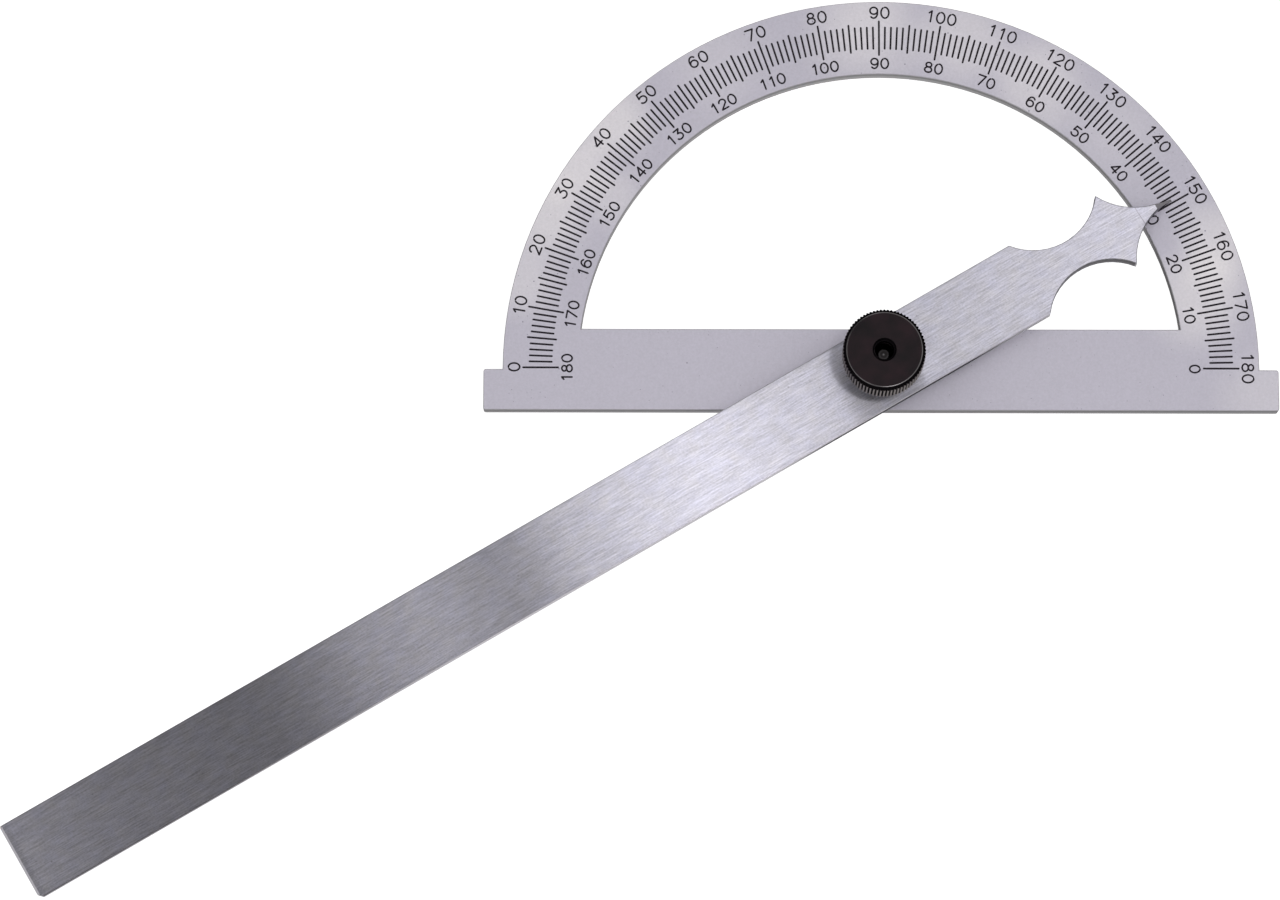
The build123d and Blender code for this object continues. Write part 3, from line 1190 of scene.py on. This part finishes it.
@dataclass(frozen=True)
class DegreeScale:
    """The filled marks and numbers on the graduated face. They ride on the base."""

    face_height_mm: float = 3.0
    stroke_mm: float = 0.38
    number_stroke_mm: float = 0.35
    proud_mm: float = 0.01
    marks: int = 181
    ten_span_mm: Point = (63.79, 71.11)
    five_span_mm: Point = (64.45, 70.49)
    one_span_mm: Point = (65.07, 69.86)
    shift_right_mm: float = 0.1
    rows: tuple[NumberRow, ...] = (
        NumberRow(71.6, 2.24, 1.57, 2.25, 2.03, False),
        NumberRow(61.2, 2.04, 1.46, 2.05, 1.84, True),
    )

    def build(self, fill: bpy.types.Material) -> list[bpy.types.Object]:
        """Build the marks and the numbers.

        Args:
            fill: The filler's material.

        Returns:
            The two pieces.
        """
        stroke = stroke_group(self._stroke_inputs())
        sizes = {"Material": fill}
        marks = grow("degree_marks", plain_mesh("marks host"), self._marks_tree(stroke), sizes)
        host = plain_mesh("numbers host", *self._number_strokes())
        sizes["Width"] = self.number_stroke_mm * MM
        numbers = grow("degree_numbers", host, self._numbers_tree(stroke), sizes)
        for piece in (marks, numbers):
            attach(piece, Body.BASE.value)
        return [marks, numbers]

    def _stroke_inputs(self) -> dict[str, tuple]:
        """List the inputs that both trees pass on to the stroke group.

        Returns:
            Socket type and default by input name.
        """
        return {
            "Geometry": GEOMETRY,
            "Width": number(self.stroke_mm * MM),
            "Proud": number(self.proud_mm * MM),
            "Face height": number(self.face_height_mm * MM),
            "Material": MATERIAL,
        }

    def _marks_tree(self, stroke: bpy.types.NodeTree) -> bpy.types.NodeTree:
        """Build the tree that lays one stroke for each degree.

        Args:
            stroke: The stroke group.

        Returns:
            The tree.
        """
        inputs = self._stroke_inputs()
        spans = {"Ten": self.ten_span_mm, "Five": self.five_span_mm, "One": self.one_span_mm}
        for title, (low, high) in spans.items():
            inputs[f"{title} start"] = number((low + self.stroke_mm / 2) * MM)
            inputs[f"{title} end"] = number((high - self.stroke_mm / 2) * MM)
        sheet, given, result = new_group("Degree marks", inputs, "Geometry")
        degree = sheet.add("GeometryNodeInputIndex").outputs[0]
        on_ten, on_five = (
            sheet.math("LESS_THAN", sheet.math("MODULO", degree, step), 0.5)
            for step in (10.0, 5.0)
        )
        ends = []
        for side in ("start", "end"):
            low = sheet.spread(on_five, given[f"One {side}"], given[f"Five {side}"])
            ends.append(sheet.spread(on_ten, low, given[f"Ten {side}"]))
        start, end = ends
        turn = sheet.math("RADIANS", degree)
        right = sheet.times(start, sheet.math("COSINE", turn))
        out = sheet.times(start, sheet.math("SINE", turn))
        feeds = {"Count": self.marks, "Position": sheet.joined(right, out, given["Face height"])}
        points = sheet.add("GeometryNodePoints", feeds).outputs[0]
        line = sheet.add("GeometryNodeCurvePrimitiveLine", {"End": (1.0, 0.0, 0.0)}).outputs[0]
        feeds = {
            "Points": points,
            "Instance": line,
            "Rotation": sheet.joined(z=turn),
            "Scale": sheet.joined(sheet.math("SUBTRACT", end, start), 1.0, 1.0),
        }
        lines = sheet.add("GeometryNodeInstanceOnPoints", feeds).outputs[0]
        self._finish_tree(sheet, given, result, stroke, sheet.real(lines))
        return sheet.tree

    def _numbers_tree(self, stroke: bpy.types.NodeTree) -> bpy.types.NodeTree:
        """Build the tree that sweeps the digits' strokes.

        Args:
            stroke: The stroke group.

        Returns:
            The tree.
        """
        sheet, given, result = new_group("Degree numbers", self._stroke_inputs(), "Geometry")
        curves = sheet.add("GeometryNodeMeshToCurve", {0: given["Geometry"]}).outputs[0]
        self._finish_tree(sheet, given, result, stroke, curves)
        return sheet.tree

    def _finish_tree(
        self,
        sheet: NodeSheet,
        given: object,
        result: Socket,
        stroke: bpy.types.NodeTree,
        curves: Socket,
    ) -> None:
        """Sweep the curves and end the tree with real, painted geometry.

        Args:
            sheet: The tree's sheet.
            given: The tree's inputs.
            result: The tree's output socket.
            stroke: The stroke group.
            curves: The curves' socket.
        """
        passed = (given[name] for name in ("Width", "Proud", "Face height", "Material"))
        swept = sheet.real(sheet.group(stroke, curves, *passed))
        sheet.feed(result, sheet.painted(swept, given["Material"]))

    def _number_strokes(self) -> tuple[list[tuple], list[tuple]]:
        """Lay out every digit of both rows as corners and edges on the face.

        Returns:
            The corners, in metres, and the edges.
        """
        corners: list[tuple] = []
        edges: list[tuple] = []
        for row in self.rows:
            for degrees in range(0, 181, 10):
                reading = degrees if row.rising_leftwards else 180 - degrees
                for points in self._number(str(reading), row):
                    first = len(corners)
                    corners += [self._on_face(point, math.radians(degrees)) for point in points]
                    edges += [(first + step, first + step + 1) for step in range(len(points) - 1)]
        return corners, edges

    def _number(self, text: str, row: NumberRow) -> list[list[Point]]:
        """Write a number with its foot on the row, before it is turned to its mark.

        Args:
            text: The number.
            row: The row that it stands in.

        Returns:
            Its strokes, in millimetres to the right and outwards.
        """
        return [
            [
                (start + x * row.width + self.shift_right_mm, row.foot + y * row.height)
                for x, y in points
            ]
            for digit, start in zip(text, row.cell_starts(text))
            for points in DIGIT_STROKES[digit]
        ]

    def _on_face(self, point: Point, turn: float) -> tuple[float, float, float]:
        """Turn a point to its mark.

        Args:
            point: Distance to the right and outwards, in millimetres.
            turn: The mark's angle, in radians.

        Returns:
            The place on the graduated face, in metres.
        """
        right, out = point
        x = right * math.sin(turn) + out * math.cos(turn)
        y = out * math.sin(turn) - right * math.cos(turn)
        return (x * MM, y * MM, self.face_height_mm * MM)


@dataclass(frozen=True)
class NutThread:
    """The thread ridge that shows in the nut's mouth, above the stud's end."""

    bore_radius_mm: float = 2.07
    ridge_mm: float = 0.34
    pitch_mm: float = 0.7
    top_below_face_mm: float = 0.55
    turns: float = 5.5
    steps_a_turn: int = 40
    corners: int = 4

    def build(self, material: bpy.types.Material) -> bpy.types.Object:
        """Build the ridge.

        Args:
            material: The nut's material.

        Returns:
            The ridge, riding on the nut.
        """
        _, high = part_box("knurled_nut")
        climb = self.turns * self.pitch_mm * MM
        sizes = {
            "Bore radius": self.bore_radius_mm * MM,
            "Ridge": self.ridge_mm * MM,
            "Bottom": high.z - self.top_below_face_mm * MM - climb,
            "Climb": climb,
            "Turns": self.turns,
        }
        tree = self._tree(sizes)
        piece = grow("nut_thread", plain_mesh("thread host"), tree, {"Material": material})
        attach(piece, Body.NUT.value)
        return piece

    def _tree(self, sizes: dict[str, float]) -> bpy.types.NodeTree:
        """Build the tree that winds a four-sided ridge up the bore.

        Args:
            sizes: Its number inputs, with their values as defaults.

        Returns:
            The tree.
        """
        inputs = {title: number(size) for title, size in sizes.items()}
        inputs = {"Geometry": GEOMETRY, **inputs, "Material": MATERIAL}
        sheet, given, result = new_group("Thread ridge", inputs, "Geometry")
        feeds = {
            "Resolution": self.steps_a_turn,
            "Rotations": given["Turns"],
            "Start Radius": given["Bore radius"],
            "End Radius": given["Bore radius"],
            "Height": given["Climb"],
        }
        spiral = sheet.add("GeometryNodeCurveSpiral", feeds).outputs[0]
        feeds = {
            "Geometry": sheet.sweep(spiral, given["Ridge"], self.corners),
            "Translation": sheet.joined(z=given["Bottom"]),
        }
        raised = sheet.add("GeometryNodeTransform", feeds).outputs[0]
        sheet.feed(result, sheet.painted(sheet.real(raised), given["Material"]))
        return sheet.tree


class ProtractorPieces:
    """The CAD pieces of the tool, each dressed in its finish, and what is added to them."""

    def __init__(self, nodes: dict[str, bpy.types.Object]) -> None:
        """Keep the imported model's mesh objects by name, and build the shared effects."""
        self.nodes = nodes
        self.effects = SurfaceEffects()

    def dress(self) -> list[bpy.types.Object]:
        """Dress every CAD piece and add the scale and the thread.

        Returns:
            All the pieces.
        """
        coats = {
            "protractor_plate": SatinChrome(),
            "blade": GroundSteel(),
            "pivot_stud": BlackenedStud(),
            "thrust_washer": BrightWasher(),
            "knurled_nut": BlackOxide(),
        }
        finishes = {name: coat.build(self.effects) for name, coat in coats.items()}
        for name, material in finishes.items():
            self._paint(self.nodes[name], material)
        scale = DegreeScale().build(MarkFill().build(self.effects))
        thread = NutThread().build(finishes["knurled_nut"])
        return [*(self.nodes[name] for name in finishes), *scale, thread]

    def _paint(self, piece: bpy.types.Object, material: bpy.types.Material) -> None:
        """Put one material in every slot of a piece.

        Args:
            piece: The piece.
            material: Its finish.
        """
        if not piece.material_slots:
            piece.data.materials.append(material)
        for slot in piece.material_slots:
            slot.material = material


@dataclass(frozen=True)
class SoftLamp:
    """A round soft lamp that points at the tool."""

    name: str
    place: tuple[float, float, float]
    size: float
    power: float

    def hang(self) -> None:
        """Put the lamp in the scene."""
        light = bpy.data.lights.new(self.name, "AREA")
        light.shape = "DISK"
        light.size = self.size
        light.energy = self.power
        lamp = stand(self.name, light)
        lamp.location = self.place
        lamp.rotation_euler = (-Vector(self.place)).to_track_quat("-Z", "Y").to_euler()


@dataclass(frozen=True)
class Studio:
    """The floor, the soft light and the white surroundings."""

    floor_size: float = 3.0
    floor_gap_mm: float = 0.02
    floor_glow: float = 0.92
    floor_colour: Colour = (0.55, 0.55, 0.55)
    floor_roughness: float = 0.9
    ambient: float = 0.45
    horizon: float = 0.22
    bright_horizon: float = 0.95
    bright_side: Point = (0.35, 0.94)
    bright_reach: float = 0.8
    horizon_slope: Point = (0.05, 0.55)
    band_turn: float = 30.45
    lowest_height: float = 0.01
    bands: tuple[Point, ...] = (
        (-0.250, 1.166),
        (-0.120, 0.831),
        (-0.075, 0.156),
        (-0.045, 0.015),
        (-0.015, 0.000),
        (0.010, 0.021),
        (0.030, 1.284),
        (0.048, 0.530),
        (0.070, 0.008),
        (0.095, 0.006),
        (0.130, 0.212),
        (0.170, 1.145),
        (0.220, 1.099),
        (0.350, 0.930),
    )
    lamps: tuple[SoftLamp, ...] = (
        SoftLamp("key lamp", (0.121, -0.101, 1.0), 0.095, 0.498),
        SoftLamp("side lamp", (0.373, 0.035, 1.0), 0.2, 0.0366),
    )

    def build(self) -> None:
        """Build the floor, the world and the lamps."""
        self._floor()
        self._world()
        for lamp in self.lamps:
            lamp.hang()

    def _floor(self) -> None:
        """Lay a pale floor that shows white and still takes the tool's shadow."""
        half = self.floor_size / 2
        corners = [(-half, -half, 0.0), (half, -half, 0.0), (half, half, 0.0), (-half, half, 0.0)]
        floor = plain_mesh("floor", corners, [], [(0, 1, 2, 3)])
        floor.location.z = -self.floor_gap_mm * MM
        material = bpy.data.materials.new("white paper")
        material.use_nodes = True
        sheet = NodeSheet(material.node_tree)
        path = sheet.add("ShaderNodeLightPath").outputs
        seen = sheet.math("MAXIMUM", path["Is Camera Ray"], path["Is Glossy Ray"])
        seen = sheet.math("MAXIMUM", seen, path["Is Transmission Ray"])
        values = {
            "Base Color": self.floor_colour,
            "Roughness": self.floor_roughness,
            "Specular IOR Level": 0.0,
            "Emission Color": WHITE,
            "Emission Strength": sheet.times(seen, self.floor_glow),
        }
        shader = material.node_tree.nodes["Principled BSDF"]
        sheet.wire(shader, values)
        floor.data.materials.append(material)

    def _world(self) -> None:
        """Surround the tool with white, in bands, that dims towards the horizon."""
        world = bpy.data.worlds.new("studio")
        bpy.context.scene.world = world
        world.use_nodes = True
        sheet = NodeSheet(world.node_tree)
        path = sheet.add("ShaderNodeLightPath").outputs
        heading = sheet.add("ShaderNodeTexCoord").outputs["Generated"]
        part = sheet.add("ShaderNodeSeparateXYZ", {0: heading}).outputs
        high = sheet.ease(part["Z"], *self.horizon_slope)
        towards = self._along(sheet, part, self.bright_side)
        towards = sheet.ease(towards, 0.0, self.bright_reach)
        low = sheet.spread(towards, self.horizon, self.bright_horizon)
        turn = math.radians(self.band_turn)
        along = self._along(sheet, part, (math.cos(turn), math.sin(turn)))
        slope = sheet.math("DIVIDE", along, sheet.math("MAXIMUM", part["Z"], self.lowest_height))
        level = sheet.times(sheet.spread(high, low, 1.0), sheet.graded(slope, self.bands))
        glossy = sheet.times(path["Is Glossy Ray"], level)
        white = sheet.math("MAXIMUM", path["Is Camera Ray"], path["Is Transmission Ray"])
        seen = sheet.math("MAXIMUM", glossy, white)
        any_seen = sheet.math("MAXIMUM", white, path["Is Glossy Ray"])
        rest = sheet.times(sheet.math("SUBTRACT", 1.0, any_seen), self.ambient)
        feeds = {"Color": WHITE, "Strength": sheet.math("ADD", seen, rest)}
        sheet.wire(world.node_tree.nodes["Background"], feeds)

    def _along(self, sheet: NodeSheet, part: object, direction: Point) -> Socket:
        """Measure how far the heading's parts point along a level direction."""
        right = sheet.times(part["X"], direction[0])
        return sheet.math("ADD", right, sheet.times(part["Y"], direction[1]))


@dataclass(frozen=True)
class PhotoCamera:
    """The photograph's camera, fitted to the degree marks and the nut."""

    place: tuple[float, float, float] = (-0.040069, -0.187251, 0.955179)
    aim: tuple[float, float, float] = (-0.047678, -0.016616, 0.003)
    roll: float = 0.1931
    lens: float = 137.592
    sensor: float = 36.0
    nearest: float = 0.01

    def build(self) -> None:
        """Put the camera in the scene."""
        camera = bpy.data.cameras.new("camera")
        camera.sensor_fit = "HORIZONTAL"
        camera.sensor_width = self.sensor
        camera.lens = self.lens
        camera.clip_start = self.nearest
        holder = stand("camera", camera)
        holder.matrix_world = self._matrix()
        bpy.context.scene.camera = holder

    def _matrix(self) -> Matrix:
        """Work out where the camera stands and how it is turned.

        Returns:
            Its world matrix.
        """
        forward = (Vector(self.aim) - Vector(self.place)).normalized()
        level_right = forward.cross(Vector((0.0, 1.0, 0.0))).normalized()
        level_up = level_right.cross(forward)
        roll = math.radians(self.roll)
        right = level_right * math.cos(roll) + level_up * math.sin(roll)
        up = level_up * math.cos(roll) - level_right * math.sin(roll)
        turn = Matrix((right, up, -forward)).transposed().to_4x4()
        return Matrix.Translation(self.place) @ turn


def main() -> None:
    """Build the scene, piece by piece, and log each piece's face count."""
    logging.basicConfig(level=logging.INFO, format="%(name)s: %(message)s")
    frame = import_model()
    bpy.context.scene.view_settings.view_transform = "Standard"
    for piece in ProtractorPieces(frame["nodes"]).dress():
        LOG.info("%s: %d faces", piece.name, len(piece.data.polygons))
    Studio().build()
    PhotoCamera().build()


if __name__ == "__main__":
    main()
